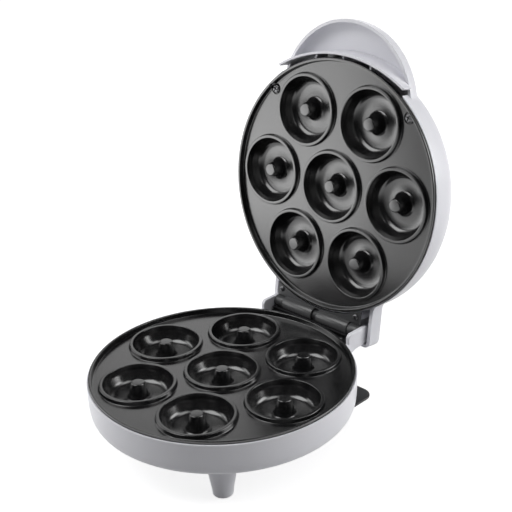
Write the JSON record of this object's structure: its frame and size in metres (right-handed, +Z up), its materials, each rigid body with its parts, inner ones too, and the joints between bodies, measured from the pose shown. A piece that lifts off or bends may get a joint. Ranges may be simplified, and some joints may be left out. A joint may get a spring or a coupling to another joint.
{
  "type": "donut maker",
  "caption": "Round hinged clamshell donut maker, open, with ring moulds in both non-stick plates, a scooped front handle and tapered feet.",
  "frame": {"origin": "centre of the bounding box's bottom face, on the plane the foot pads rest on, with the lid open", "axes": "+Z up, -Y towards the front and the handle side, +Y towards the hinge, X along the hinge pin"},
  "size_m": [0.196, 0.2604, 0.2845],
  "materials": {
    "aluminium": "bright sheet",
    "black_plastic": "fine texture",
    "ceramic": "matt",
    "dark_steel": "oxidised sheath",
    "green_lens": "clear tinted",
    "grey_plastic": "satin moulded plastic",
    "non_stick": "speckled non-stick coating",
    "red_lens": "clear tinted",
    "rubber": "matt",
    "silicone": "matt sleeve",
    "steel": "plated",
    "white_plastic": "satin moulded plastic"
  },
  "bodies": {
    "base": {"base_shell": "white_plastic", "base_plate": "non_stick", "base_element": "dark_steel", "base_element_clip_1": "steel", "base_element_clip_2": "steel", "base_element_clip_3": "steel", "base_reflector": "aluminium", "thermostat": "ceramic", "thermal_fuse": "aluminium", "supply_lead": "silicone", "fuse_lead": "silicone", "element_lead": "silicone", "terminal_block": "ceramic", "cord_gland": "black_plastic", "foot_1": "white_plastic", "foot_2": "white_plastic", "foot_3": "white_plastic", "foot_4": "white_plastic", "foot_pad_1": "rubber", "foot_pad_2": "rubber", "foot_pad_3": "rubber", "foot_pad_4": "rubber", "base_plate_screw_1": "steel", "base_plate_screw_2": "steel", "base_plate_screw_3": "steel", "cord_wrap_plate": "black_plastic", "cord_wrap_screw_1": "steel", "cord_wrap_screw_2": "steel", "hinge_cradle": "black_plastic", "hinge_cradle_screw_1": "steel", "hinge_cradle_screw_2": "steel", "hinge_pin": "steel", "hinge_bush_right": "grey_plastic", "hinge_bush_left": "grey_plastic"},
    "lid": {"lid_shell": "white_plastic", "handle_lip": "white_plastic", "lid_plate": "non_stick", "lid_element": "dark_steel", "lid_element_clip_1": "steel", "lid_element_clip_2": "steel", "lid_element_clip_3": "steel", "lid_reflector": "aluminium", "lid_plate_screw_1": "steel", "lid_plate_screw_2": "steel", "hinge_cover": "grey_plastic", "hinge_cover_screw_1": "steel", "hinge_cover_screw_2": "steel", "power_lens": "red_lens", "ready_lens": "green_lens", "lamp_board": "black_plastic"}
  },
  "joints": [
    {"name": "lid_hinge", "type": "hinge", "parent": "base", "child": "lid", "pos_m": [0, 0.07243, 0.0582], "axis": [1, 0, 0], "range_deg": [0, 98]}
  ]
}
